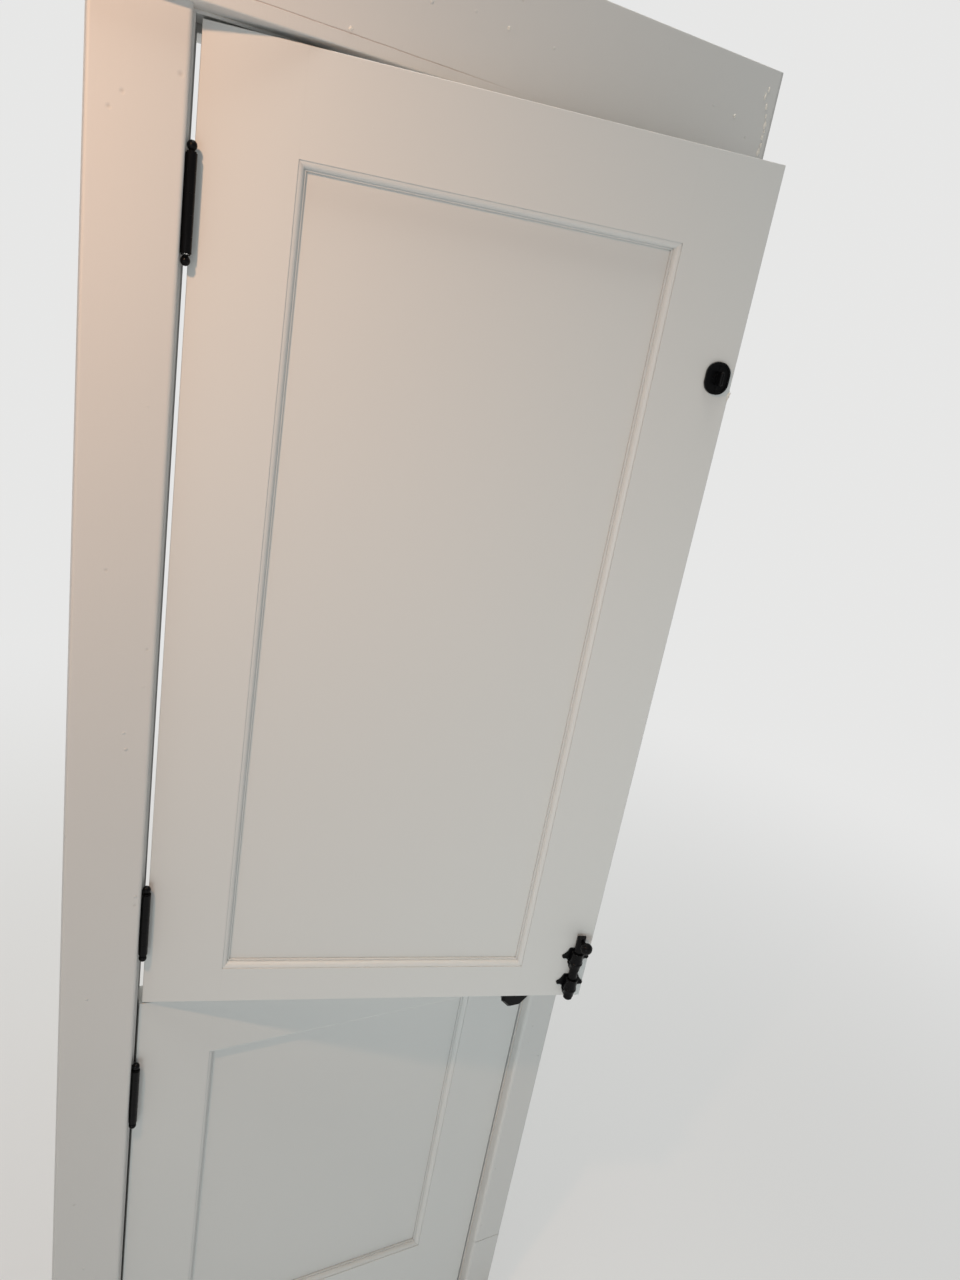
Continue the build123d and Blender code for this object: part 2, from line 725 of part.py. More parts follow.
    # Turn-piece on its oval plate
    turn_x = x_leaf_end - turn_backset
    face = Plane(origin=(turn_x, 0, turn_z), x_dir=(1, 0, 0), z_dir=(0, -1, 0)).location
    corner = turn_corner_share * turn_plate_half_width
    oval = RectangleRounded(2 * turn_plate_half_width, 2 * turn_plate_half_height, corner)
    inner = offset(oval, amount=-turn_rim_width)
    turn_plate = extrude(oval, amount=turn_rim_height)
    turn_plate -= Pos(0, 0, turn_plate_thick) * extrude(inner, amount=turn_rim_height)
    turn_plate += Cylinder(turn_boss_radius, turn_boss_height,
                           align=(Align.CENTER, Align.CENTER, Align.MIN))
    turn_plate -= Cylinder(turn_stem_radius + turn_clearance, 4 * turn_boss_height)
    turn_plate = face * turn_plate
    turn_screws = []
    for way in (-1, 1):
        spot = (turn_x, -turn_plate_thick, turn_z + way * turn_screw_pitch / 2)
        hole = screw_hole(spot, (0, -1, 0), small_screw_head, small_screw_length)
        turn_plate -= hole
        upper_latch_side -= hole
        turn_screws.append(screw(spot, (0, -1, 0), small_screw_head, small_screw_length))
    blade_low = turn_boss_height + turn_clearance
    blade = Pos(0, 0, blade_low) * extrude(
        SlotOverall(turn_blade_length, turn_blade_thick, rotation=90),
        amount=turn_blade_reach - blade_low,
    )
    blade = fillet(blade.faces().sort_by(Axis.Z)[-1].edges(), 1.6)
    stem_start = turn_plate_thick - turn_rim_height
    blade += Pos(0, 0, stem_start) * Cylinder(
        turn_stem_radius, blade_low - stem_start + 0.5,
        align=(Align.CENTER, Align.CENTER, Align.MIN))
    spindle_end = mid_leaf + edge_bolt_radius + spindle_room
    blade += Pos(0, 0, -spindle_end) * Cylinder(
        spindle_radius, spindle_end + 1.0, align=(Align.CENTER, Align.CENTER, Align.MIN))
    turn_piece = face * blade
    turn_hole = turn_stem_radius + turn_clearance
    upper_latch_side -= rod(turn_hole, (turn_x, -1, turn_z), (turn_x, mid_leaf, turn_z))

    # Edge bolt: a plunger in a round case, drawn back, with a slot that the spindle passes
    case_x0 = x_leaf_end - edge_case_length
    edge_case = rod(
        edge_case_radius, (case_x0, latch_y, turn_z), (x_leaf_end, latch_y, turn_z))
    edge_case += rod(
        edge_face_radius,
        (x_leaf_end - edge_face_thick, latch_y, turn_z),
        (x_leaf_end, latch_y, turn_z),
    )
    slot_room = spindle_radius + spindle_room
    plunger_x0 = turn_x - edge_bolt_throw - slot_room - edge_bolt_tail
    plunger_x1 = x_leaf_end + edge_bolt_proud
    plunger = rod(
        edge_bolt_radius, (plunger_x0, latch_y, turn_z), (plunger_x1, latch_y, turn_z))
    plunger = chamfer(plunger.faces().sort_by(Axis.X)[-1].edges(), 1.0)
    plunger -= block(
        turn_x - edge_bolt_throw - slot_room,
        turn_x + slot_room,
        latch_y - edge_bolt_radius - 1,
        latch_y + edge_bolt_radius + 1,
        turn_z - slot_room,
        turn_z + slot_room,
    )
    edge_case -= rod(
        edge_bolt_radius + bolt_fit,
        (plunger_x0 - 1.0, latch_y, turn_z),
        (x_leaf_end + 1, latch_y, turn_z),
    )
    edge_case -= rod(
        slot_room,
        (turn_x, latch_y - edge_case_radius - 1, turn_z),
        (turn_x, latch_y + edge_bolt_radius + 1.5, turn_z),
    )
    upper_latch_side -= rod(
        edge_case_radius + mortise_fit,
        (case_x0 - mortise_fit, latch_y, turn_z),
        (x_leaf_end + 1, latch_y, turn_z),
    )
    upper_latch_side -= rod(
        edge_face_radius + mortise_fit,
        (x_leaf_end - edge_face_thick - mortise_fit, latch_y, turn_z),
        (x_leaf_end + 1, latch_y, turn_z),
    )

    # Lower leaf: latch case, tongue drawn back, two knobs on a square spindle, two rosettes
    latch_x0 = x_leaf_end - latch_case_length
    latch_case = rod(
        latch_case_radius, (latch_x0, latch_y, knob_z), (x_leaf_end, latch_y, knob_z))
    latch_face = block(
        x_leaf_end - latch_face_thick,
        x_leaf_end,
        latch_y - latch_face_width / 2,
        latch_y + latch_face_width / 2,
        knob_z - latch_face_height / 2,
        knob_z + latch_face_height / 2,
    )
    latch_case += latch_face
    tongue_x1 = x_leaf_end - tongue_sunk
    tongue_x0 = tongue_x1 - tongue_length
    tongue = block(
        tongue_x0,
        tongue_x1,
        latch_y - tongue_width / 2,
        latch_y + tongue_width / 2,
        knob_z - tongue_height / 2,
        knob_z + tongue_height / 2,
    )
    bevel = tongue.edges().filter_by(Axis.Z).group_by(Axis.X)[-1].sort_by(Axis.Y)[-1]
    tongue = chamfer(bevel, tongue_throw - 1.5, tongue_width - 2.5)
    latch_case -= block(
        tongue_x0 - tongue_fit,
        x_leaf_end + 1,
        latch_y - tongue_width / 2 - tongue_fit,
        latch_y + tongue_width / 2 + tongue_fit,
        knob_z - tongue_height / 2 - tongue_fit,
        knob_z + tongue_height / 2 + tongue_fit,
    )
    hub_room = knob_hub_radius + tongue_fit
    latch_case -= rod(
        hub_room,
        (knob_x, latch_y - 2 * latch_case_radius, knob_z),
        (knob_x, latch_y + 2 * latch_case_radius, knob_z),
    )
    lower_latch_side -= rod(
        latch_case_radius + latch_bore_fit,
        (latch_x0 - latch_bore_fit, latch_y, knob_z),
        (x_leaf_end + 1, latch_y, knob_z),
    )
    lower_latch_side -= block(
        x_leaf_end - latch_face_thick - mortise_fit,
        x_leaf_end + 1,
        latch_y - latch_face_width / 2 - mortise_fit,
        latch_y + latch_face_width / 2 + mortise_fit,
        knob_z - latch_face_height / 2 - mortise_fit,
        knob_z + latch_face_height / 2 + mortise_fit,
    )
    cross_hole = rod(
        hub_room + 1.0, (knob_x, -1, knob_z), (knob_x, leaf_thick + 1, knob_z))
    lower_latch_side -= cross_hole
    latch_screws = []
    for way in (-1, 1):
        spot = (x_leaf_end, latch_y, knob_z + way * latch_screw_pitch / 2)
        hole = screw_hole(spot, (1, 0, 0), small_screw_head, small_screw_length)
        latch_case -= hole
        lower_latch_side -= hole
        latch_screws.append(screw(spot, (1, 0, 0), small_screw_head, small_screw_length))

    front_knob, front_info = octagon_knob(0.0, -1)
    back_knob, back_info = octagon_knob(leaf_thick, 1)
    front_start, front_rise = front_info[2], front_info[3]
    back_start, back_rise = back_info[2], back_info[3]
    half_bar = knob_spindle_width / 2
    bar_y0, bar_y1 = (front_start + front_rise) / 2, (back_start + back_rise) / 2
    spindle = block(
        knob_x - half_bar, knob_x + half_bar, bar_y0, bar_y1,
        knob_z - half_bar, knob_z + half_bar)
    socket = block(
        knob_x - half_bar - spindle_fit,
        knob_x + half_bar + spindle_fit,
        bar_y0 - spindle_fit,
        bar_y1 + spindle_fit,
        knob_z - half_bar - spindle_fit,
        knob_z + half_bar + spindle_fit,
    )
    front_knob -= socket
    back_knob -= socket
    hub = rod(
        knob_hub_radius,
        (knob_x, latch_y - latch_case_radius + 1, knob_z),
        (knob_x, latch_y + latch_case_radius - 1, knob_z),
    ) - socket

    def rosette(y_face, way):
        rim, step_in = rosette_radius, rosette_radius - 2.5
        plate = turned(
            [
                (rosette_bore_radius, 0),
                (rim, 0),
                (rim, 1.6),
                (step_in, 2.4),
                (step_in - 1.5, 3.8),
                (rosette_bore_radius + 6.0, rosette_thick - 0.8),
                (rosette_bore_radius + 4.0, rosette_thick),
                (rosette_bore_radius, rosette_thick),
            ],
            (knob_x, y_face, knob_z),
            (0, way, 0),
        )
        return plate

    parts["upper_hinge_stile"] = ajar * upper_hinge_side
    parts["upper_latch_stile"] = ajar * upper_latch_side
    parts["upper_top_rail"] = ajar * upper_top
    parts["upper_bottom_rail"] = ajar * upper_bottom
    parts["upper_panel"] = ajar * upper_panel
    parts["lower_hinge_stile"] = lower_hinge_side
    parts["lower_latch_stile"] = lower_latch_side
    parts["lower_top_rail"] = lower_top
    parts["lower_bottom_rail"] = lower_bottom
    parts["lower_panel"] = lower_panel
    parts["bolt_lower_bracket"] = ajar * low_bracket
    parts["bolt_upper_bracket"] = ajar * high_bracket
    parts["bolt_bracket_screws"] = [ajar * piece for piece in bracket_screw_set]
    parts["bolt_rod"] = ajar * bolt
    parts["bolt_knob"] = ajar * bolt_knob
    parts["bolt_keeper"] = keeper
    parts["bolt_keeper_screws"] = bracket_screws(keeper_z, bolt_x, 0.0)
    parts["turn_plate"] = ajar * turn_plate
    parts["turn_plate_screws"] = [ajar * piece for piece in turn_screws]
    parts["turn_piece"] = ajar * turn_piece
    parts["edge_bolt_case"] = ajar * edge_case
    parts["edge_bolt"] = ajar * plunger
    parts["latch_case"] = latch_case
    parts["latch_tongue"] = tongue
    parts["latch_hub"] = hub
    parts["latch_face_screws"] = latch_screws
    parts["front_rosette"] = rosette(0.0, -1)
    parts["back_rosette"] = rosette(leaf_thick, 1)
    parts["front_knob"] = front_knob
    parts["back_knob"] = back_knob
    parts["knob_spindle"] = spindle
    return parts


os.makedirs("parts", exist_ok=True)
pieces = assemble()
for name, piece in pieces.items():
    if isinstance(piece, list):
        piece = Compound(children=[one.solid() for one in piece])
    export_step(piece, f"parts/{name}.step")
print(len(pieces), "nodes")
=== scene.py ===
import math

import bmesh
import bpy
from mathutils import Matrix, Vector


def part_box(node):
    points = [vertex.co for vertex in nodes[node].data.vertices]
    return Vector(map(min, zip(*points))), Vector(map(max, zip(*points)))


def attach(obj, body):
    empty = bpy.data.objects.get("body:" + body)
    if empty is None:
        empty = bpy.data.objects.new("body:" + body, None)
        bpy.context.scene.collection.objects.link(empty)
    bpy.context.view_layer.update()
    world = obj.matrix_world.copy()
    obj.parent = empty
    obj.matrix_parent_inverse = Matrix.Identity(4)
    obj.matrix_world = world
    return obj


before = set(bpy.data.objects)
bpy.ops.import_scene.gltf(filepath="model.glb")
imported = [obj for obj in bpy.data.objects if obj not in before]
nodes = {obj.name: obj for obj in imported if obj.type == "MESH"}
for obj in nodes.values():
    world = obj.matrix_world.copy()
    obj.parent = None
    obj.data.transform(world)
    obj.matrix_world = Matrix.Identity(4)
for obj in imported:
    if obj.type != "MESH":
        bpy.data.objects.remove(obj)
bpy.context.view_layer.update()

# Jambs and stops: planed softwood boards, two side jambs housed to take the head jamb, with thin
# stops nailed on behind the leaves. They were brushed with white satin paint on the spot, so the
# paint has long marks of the brush, and it is thicker and duller than the paint on the leaves.


class Amount:
    """A number that changes over a surface. Sums written with it become its material's maths."""

    def __init__(self, finish, socket):
        self.finish = finish
        self.socket = socket

    def maths(self, operation, *values):
        return self.finish.node("Math", {"operation": operation}, dict(enumerate(values)))

    def __add__(self, other):
        return self.maths("ADD", self, other)

    def __radd__(self, other):
        return self.maths("ADD", other, self)

    def __sub__(self, other):
        return self.maths("SUBTRACT", self, other)

    def __rsub__(self, other):
        return self.maths("SUBTRACT", other, self)

    def __mul__(self, other):
        return self.maths("MULTIPLY", self, other)

    def __rmul__(self, other):
        return self.maths("MULTIPLY", other, self)

    def __abs__(self):
        return self.maths("ABSOLUTE", self)

    def above(self, low, high):
        """0 under low, 1 over high, and smooth between them."""
        settings = {"interpolation_type": "SMOOTHSTEP"}
        values = {"Value": self, "From Min": low, "From Max": high, "To Min": 0.0, "To Max": 1.0}
        return self.finish.node("MapRange", settings, values)


class Finish:
    """The material of one kind of piece, or the world around it, built up from nodes."""

    def __init__(self, name, holder=None):
        self.material = holder or bpy.data.materials.new(name)
        self.material.use_nodes = True
        self.tree = self.material.node_tree
        self.tree.nodes.clear()
        self.here = self.node("TexCoord", output="Object")

    def node(self, kind, settings=None, values=None, output=0):
        """Adds a node, fills in its settings and inputs, and gives one of its outputs."""
        made = self.tree.nodes.new("ShaderNode" + kind)
        for name, setting in (settings or {}).items():
            setattr(made, name, setting)
        for name, value in (values or {}).items():
            socket = made.inputs[name]
            if isinstance(value, Amount):
                self.tree.links.new(value.socket, socket)
            else:
                socket.default_value = value
        return Amount(self, made.outputs[output]) if made.outputs else None

    def stretched(self, x, y, z):
        """The place on the piece, with each direction scaled."""
        values = {"Vector": self.here, "Scale": (x, y, z)}
        return self.node("Mapping", {"vector_type": "POINT"}, values)

    def noise(self, size, place=None, detail=2.0, roughness=0.5):
        """Soft noise from 0 to 1 whose blobs are about size metres across."""
        values = {
            "Vector": place or self.here,
            "Scale": 1.0 / size,
            "Detail": detail,
            "Roughness": roughness,
        }
        return self.node("TexNoise", {}, values)

    def blend(self, share, first, second):
        """A colour that goes from first to second as share goes from 0 to 1."""
        colors = [c if isinstance(c, Amount) else (*c, 1.0) for c in (first, second)]
        values = {0: share, 6: colors[0], 7: colors[1]}
        return self.node("Mix", {"data_type": "RGBA"}, values, output=2)

    def near(self, x, y, z, radius):
        """1 at a spot on the piece, falling to 0 at radius metres from it."""
        away = self.node(
            "VectorMath", {"operation": "DISTANCE"}, {0: self.here, 1: (x, y, z)}, output="Value"
        )
        return 1 - away.above(0.0, radius)

    def part(self, axis):
        """The place on the piece along one axis, in metres."""
        return self.node("SeparateXYZ", {}, {0: self.here}, output=axis)

    def bump(self, height, distance, under=None):
        """Bumps of height times distance metres, on top of another normal if one is given."""
        values = {"Height": height, "Distance": distance, "Strength": 1.0}
        if under is not None:
            values["Normal"] = under
        return self.node("Bump", {}, values)

    def eased(self, radius):
        """A normal that rounds off sharp edges."""
        return self.node("Bevel", {"samples": 4}, {"Radius": radius})

    def edges(self, radius):
        """1 on a sharp edge, 0 on a flat."""
        flat = self.node("NewGeometry", output="Normal")
        round_off = self.eased(radius)
        along = self.node(
            "VectorMath", {"operation": "DOT_PRODUCT"}, {0: flat, 1: round_off}, output="Value"
        )
        return (1 - along).above(0.01, 0.22)

    def surface(self, **values):
        """The shader: socket names are written with underscores."""
        sockets = {name.replace("_", " "): value for name, value in values.items()}
        shader = self.node("BsdfPrincipled", {}, sockets)
        self.node("OutputMaterial", {}, {"Surface": shader})


def put_on(finish, *names):
    """Gives CAD nodes their finish."""
    for name in names:
        piece = nodes[name]
        piece.data.materials.clear()
        piece.data.materials.append(finish.material)


def bare_pine(wood, along):
    """Planed pine, its grain running along one axis."""
    scales = [0.06 if axis == along else 1.0 for axis in "XYZ"]
    lengthwise = wood.stretched(*scales)
    drift = wood.noise(0.10, lengthwise)
    rings = wood.noise(0.009, wood.stretched(*(0.25 * scale for scale in scales)), detail=4.0)
    pores = wood.noise(0.0012, lengthwise)
    dark_rings = rings.above(0.52, 0.66) * 0.7
    color = wood.blend(drift, (0.60, 0.43, 0.26), (0.52, 0.35, 0.19))
    color = wood.blend(dark_rings, color, (0.38, 0.22, 0.10))
    return wood.blend(pores.above(0.56, 0.74) * 0.35, color, (0.30, 0.17, 0.08))


def brushed_paint(name, white, dents=(), worn=None, bare=None, grain="Z", crack=None):
    """White paint with upright marks of the brush, and dents where nails were sunk.

    worn, bare and crack say where the paint is knocked, missing or split, and grain is the axis
    that the pine under it runs along.
    """
    paint = Finish(name)
    marks = paint.noise(0.004, paint.stretched(1.0, 1.0, 0.04), detail=3.0)
    fine = paint.noise(0.0018, paint.stretched(1.0, 1.0, 0.10))
    waves = paint.noise(0.09, paint.stretched(1.0, 1.0, 0.35))
    lumps = paint.noise(0.012, detail=3.0, roughness=0.6)
    speck_gap = 0.034
    dots = {"Vector": paint.here, "Scale": 1 / speck_gap, "Randomness": 1.0}
    from_speck = paint.node("TexVoronoi", {}, dots, output="Distance")
    kept_specks = paint.noise(0.06, detail=1.0).above(0.42, 0.50)
    specks = (1 - from_speck.above(0.015, 0.080)) * kept_specks
    height = marks * 0.34 + fine * 0.12 + waves * 0.9 + lumps * 0.45 + specks * 3.2
    for x, y, z, radius in dents:
        height = height - paint.near(x, y, z, radius) * 1.6
    tone = paint.noise(0.35, detail=3.0)
    grey = tuple(0.90 * part for part in white)
    color = paint.blend((tone - 0.5) * 0.5 + 0.35, white, grey)
    # Towards the foot of each board, up to 0.22 m from the floor, the colour is drawn darker,
    # unevenly.
    foot = 1 - paint.part("Z").above(0.0, 0.22)
    foot_darkening_color = (0.42, 0.39, 0.35)
    color = paint.blend(foot * (0.25 + 0.5 * paint.noise(0.03)), color, foot_darkening_color)
    # Each dent is also drawn darker in colour.
    dent_darkening_color = (0.38, 0.35, 0.32)
    for x, y, z, radius in dents:
        color = paint.blend(paint.near(x, y, z, radius * 0.8) * 0.35, color, dent_darkening_color)
    if worn is not None:
        color = paint.blend(worn(paint), color, (0.30, 0.31, 0.30))
    if crack is not None:
        split = crack(paint)
        height = height - 1.2 * split
        color = paint.blend(0.55 * split, color, (0.30, 0.20, 0.15))
    rough = 0.40 + 0.12 * marks + 0.08 * tone
    if bare is not None:
        raw = bare(paint)
        color = paint.blend(raw, color, bare_pine(paint, grain))
        rough = rough + 0.25 * raw
    brush_depth = 0.00026
    arris_radius = 0.0012
    paint.surface(
        Base_Color=color,
        Roughness=rough,
        Normal=paint.bump(height, brush_depth, paint.eased(arris_radius)),
        Specular_IOR_Level=0.45,
    )
    return paint


def outside(axis, place, way):
    """Where a board's hidden face was left bare; the paint laps raggedly over its arris."""

    def bare(paint):
        ragged = 0.0015 * paint.noise(0.02, detail=4.0, roughness=0.65)
        beyond = (paint.part(axis) - place) * way + ragged
        return beyond.above(0.0001, 0.0004)

    return bare


frame_white = (0.645, 0.640, 0.622)
outer_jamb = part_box("strike_jamb")[1][0]
head_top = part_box("head_jamb")[1][2]
put_on(brushed_paint("hinge_jamb_paint", frame_white, bare=outside("X", 0.0, -1)), "hinge_jamb")
put_on(
    brushed_paint("strike_jamb_paint", frame_white, bare=outside("X", outer_jamb, 1)),
    "strike_jamb",
)
put_on(
    brushed_paint("head_jamb_paint", frame_white, bare=outside("Z", head_top, 1), grain="X"),
    "head_jamb",
)
put_on(brushed_paint("stop_paint", frame_white), "hinge_stop", "strike_stop", "head_stop")

# Casings: flat boards nailed to the edges of the jambs. Old paint has rounded their arrises, the
# nail heads were sunk and filled, and a foot piece was let in below the right board. The head
# board is thicker, with square arrises, and lies on the side boards.

# The place of each sunk nail and the radius of its dent, in metres.
left_dents = (
    (0.0058, -0.018, 1.9914, 0.0042),
    (-0.0433, -0.018, 1.9653, 0.0036),
    (-0.0540, -0.018, 1.9507, 0.0036),
    (0.0063, -0.018, 1.0941, 0.0034),
    (-0.0410, -0.018, 1.5200, 0.0030),
    (0.0040, -0.018, 1.4300, 0.0030),
    (-0.0500, -0.018, 0.6200, 0.0034),
)
right_dents = (
    (0.6452, -0.018, 0.2837, 0.0030),
    (0.6560, -0.018, 0.7400, 0.0030),
    (0.6700, -0.018, 1.3100, 0.0030),
    (0.6480, -0.018, 1.8600, 0.0030),
)
head_dents = (
    (0.6520, -0.030, 2.0900, 0.0028),
    (0.3300, -0.030, 2.1400, 0.0030),
    (-0.0300, -0.030, 2.1350, 0.0034),
)


def worn_side(paint):
    """The right board's outer edge, where its white paint stops unevenly."""
    ragged = paint.part("X") + 0.006 * (paint.noise(0.010, detail=4.0, roughness=0.7) - 0.5)
    return ragged.above(0.6885, 0.6893) * paint.part("Y").above(-0.0175, -0.0155)


def worn_end(paint):
    """The head board's right end, knocked and rough."""
    ragged = paint.part("X") + 0.008 * (paint.noise(0.006, detail=4.0, roughness=0.7) - 0.5)
    return ragged.above(0.6845, 0.6865) * 0.35


def head_crack(paint):
    """A hairline crack in the head board's paint, just above its lower edge."""
    slope = 0.0148
    height_at_jamb = 2.0651
    wander = 0.0016 * (paint.noise(0.05, detail=3.0) - 0.5)
    line = paint.part("Z") + slope * paint.part("X") + wander - height_at_jamb
    thin = 1 - abs(line).above(0.0001, 0.0009)
    return thin * paint.part("X").above(0.0, 0.05) * (1 - paint.part("X").above(0.24, 0.36))


back_face = outside("Y", 0.0, 1)
put_on(
    brushed_paint("left_casing_paint", frame_white, left_dents, bare=back_face),
    "left_casing",
)
put_on(
    brushed_paint("right_casing_paint", frame_white, right_dents, worn_side, back_face),
    "right_casing",
    "right_casing_foot",
)
head_paint = brushed_paint(
    "head_casing_paint", frame_white, head_dents, worn_end, back_face, "X", head_crack
)
put_on(head_paint, "head_casing")

# Paint nibs: hardened drops and brush ends on the head board's face, most of them in a ragged
# row beside its right end, where the brush was turned. Each is a low lump of thick paint, given
# a paler colour than the board's paint as a painted highlight of the light they catch.


def add_piece(name, form, finish, body):
    """Makes a piece from a finished mesh and lets it move with a part of the door."""
    mesh = bpy.data.meshes.new(name)
    form.to_mesh(mesh)
    form.free()
    for face in mesh.polygons:
        face.use_smooth = True
    piece = bpy.data.objects.new(name, mesh)
    bpy.context.scene.collection.objects.link(piece)
    mesh.materials.append(finish.material)
    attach(piece, body)


# The x, z, half width and half height of each nib, in metres.
nib_places = (
    (0.1547, 2.0671, 0.0020, 0.0018),
    (0.3191, 2.1128, 0.0017, 0.0020),
    (0.6300, 2.1082, 0.0019, 0.0019),
    (0.6690, 2.1387, 0.0016, 0.0040),
    (0.6722, 2.1465, 0.0013, 0.0030),
    (0.6743, 2.1287, 0.0018, 0.0036),
    (0.6770, 2.1190, 0.0013, 0.0024),
    (0.6788, 2.1103, 0.0020, 0.0044),
    (0.6798, 2.1030, 0.0012, 0.0022),
    (0.6790, 2.0966, 0.0019, 0.0034),
    (0.6796, 2.0880, 0.0014, 0.0030),
    (0.6786, 2.0807, 0.0022, 0.0042),
    (0.6800, 2.0720, 0.0015, 0.0026),
    (0.6792, 2.0620, 0.0018, 0.0034),
)
nib_depth = 0.0011
nib_unevenness = 0.16
nib_sag = 0.35
# Painted highlight: the nibs' colour is paler than the board's paint, so that they read as flecks
# that catch the light.
nib_highlight_paint = Finish("nib_painted_highlight")
nib_tone = nib_highlight_paint.noise(0.004)
nib_highlight_paint.surface(
    Base_Color=nib_highlight_paint.blend(nib_tone, (0.80, 0.775, 0.72), (0.70, 0.665, 0.60)),
    Roughness=0.30 + 0.15 * nib_tone,
    Normal=nib_highlight_paint.bump(nib_highlight_paint.noise(0.0008), 0.00005),
)
board_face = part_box("head_casing")[0][1]
nibs = bmesh.new()
for number, (x, z, half_width, half_height) in enumerate(nib_places):
    drop = bmesh.ops.create_icosphere(nibs, subdivisions=3, radius=1.0)
    for vertex in drop["verts"]:
        bulge = math.sin(3.1 * vertex.co.x + 4.3 * vertex.co.z + 1.7 * number)
        knobbly = 1.0 + nib_unevenness * bulge
        sagged = 1.0 - nib_sag * vertex.co.z
        vertex.co = (
            x + half_width * knobbly * sagged * vertex.co.x,
            board_face + nib_depth * knobbly * vertex.co.y,
            z + half_height * knobbly * vertex.co.z,
        )
add_piece("head_casing_nibs", nibs, nib_highlight_paint, "frame")

# Leaves: stiles and rails joined with coped mouldings and stub tenons, round a flat panel. They
# were sprayed with white satin paint before they were hung, so their skin is smoother than the
# frame's, with a fine orange peel, and painted shade darkens the mouldings' crevices.

leaf_white = (0.660, 0.664, 0.648)
leaf_grey = tuple(0.93 * part for part in leaf_white)
leaf_paint = Finish("sprayed_leaf_paint")
peel = leaf_paint.noise(0.0022)
swell = leaf_paint.noise(0.16)
mottle = leaf_paint.noise(0.5)
leaf_tone = leaf_paint.blend((mottle - 0.5) * 0.5 + 0.3, leaf_white, leaf_grey)
# Painted shade: where the ambient occlusion finds the surface closed in, in the mouldings'
# crevices, the colour is drawn darker.
crevice_width = 0.0024
openness = leaf_paint.node(
    "AmbientOcclusion", {"samples": 6, "inside": False}, {"Distance": crevice_width}, output="AO"
)
crevice_painted_shade = (1 - openness).above(0.30, 0.80) * 0.72
leaf_tone = leaf_paint.blend(crevice_painted_shade, leaf_tone, (0.20, 0.20, 0.19))
leaf_paint.surface(
    Base_Color=leaf_tone,
    Roughness=0.36 + 0.08 * mottle + 0.04 * peel,
    Normal=leaf_paint.bump(peel * 0.10 + swell * 1.0, 0.00022),
    Specular_IOR_Level=0.45,
)
for half in ("upper", "lower"):
    for member in ("hinge_stile", "latch_stile", "top_rail", "bottom_rail", "panel"):
        put_on(leaf_paint, f"{half}_{member}")

# Split at the upper leaf's edge: below the edge bolt's hole the paint and a sliver of the pine
# under it were knocked up. It is a thin curled flake, pale where the wood shows.

flake_finish = Finish("split_pine")
fibres = flake_finish.noise(0.0012, flake_finish.stretched(1.0, 1.0, 0.15), detail=3.0)
flake_finish.surface(
    Base_Color=flake_finish.blend(fibres, (0.80, 0.78, 0.73), (0.68, 0.62, 0.53)),
    Roughness=0.6 + 0.2 * fibres,
    Normal=flake_finish.bump(fibres, 0.0001),
)

# The upper leaf stands 14.5 degrees ajar, and the flake is laid out along its face.
ajar_cosine = 0.9681
ajar_sine = 0.2504
across_leaf = Vector((ajar_cosine, -ajar_sine, 0.0))
out_of_leaf = Vector((-ajar_sine, -ajar_cosine, 0.0))
leaf_thickness = 0.035
split_height = 1.7975
stile_low, stile_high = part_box("upper_latch_stile")
corner = Vector((stile_high.x - leaf_thickness * ajar_sine, stile_low.y, split_height))

# The flake's outline: how far each point is across the leaf and up from its corner, in metres.
outline = (
    (-0.0030, 0.0004),
    (-0.0021, 0.0016),
    (-0.0017, 0.0029),
    (-0.0006, 0.0034),
    (0.0001, 0.0061),
    (0.0004, 0.0036),
    (0.0011, 0.0031),
    (0.0020, 0.0040),
    (0.0014, 0.0017),
    (0.0008, 0.0006),
    (0.0013, -0.0009),
    (0.0007, -0.0021),
    (0.0002, -0.0038),
    (-0.0007, -0.0066),
    (-0.0013, -0.0041),
    (-0.0019, -0.0034),
    (-0.0024, -0.0015),
)
flake_thickness = 0.0004
flat_part = 0.0016
curl_rate = 4.4
tip_curl = 60.0
middle_inset = 0.0010
flake = bmesh.new()
skins = []
for lift in (0.0, flake_thickness):
    ring = []
    for beside, above_middle in outline:
        bent = max(0.0, beside + flat_part) ** 1.5
        curl = lift + curl_rate * bent * (1.0 + tip_curl * abs(above_middle))
        place = corner + across_leaf * beside + out_of_leaf * curl
        ring.append(flake.verts.new(place + Vector((0.0, 0.0, above_middle))))
    middle_place = corner - across_leaf * middle_inset + out_of_leaf * (lift * 1.3)
    skins.append((ring, flake.verts.new(middle_place)))
count = len(outline)
for ring, hub in skins:
    for step in range(count):
        flake.faces.new((ring[step], ring[(step + 1) % count], hub))
(inner, _), (outer, _) = skins
for step in range(count):
    after = (step + 1) % count
    flake.faces.new((inner[step], inner[after], outer[after], outer[step]))
bmesh.ops.recalc_face_normals(flake, faces=flake.faces)
add_piece("upper_leaf_split", flake, flake_finish, "upper_leaf")

# Butt hinges: pressed steel plates with five rolled knuckles, let in flush and screwed, and a
# loose pin with a turned ball at each end. All have a glossy black lacquer, rubbed at the edges.


def black_lacquer(name, shine, cast):
    """Black lacquer over metal; cast is how deep the casting's rough skin shows, in metres."""
    lacquer = Finish(name)
    skin = lacquer.noise(0.0014, detail=3.0, roughness=0.6)
    drift = lacquer.noise(0.02)
    rubbed = lacquer.edges(0.0006) * lacquer.noise(0.006, detail=3.0).above(0.35, 0.75)
    lacquer.surface(
        Base_Color=lacquer.blend(rubbed * 0.35, (0.0024, 0.0024, 0.0028), (0.026, 0.022, 0.019)),
        Roughness=shine + 0.16 * drift + 0.10 * rubbed,
        Normal=lacquer.bump(skin, cast, lacquer.eased(0.0004)),
        Specular_IOR_Level=0.12,
    )
    return lacquer


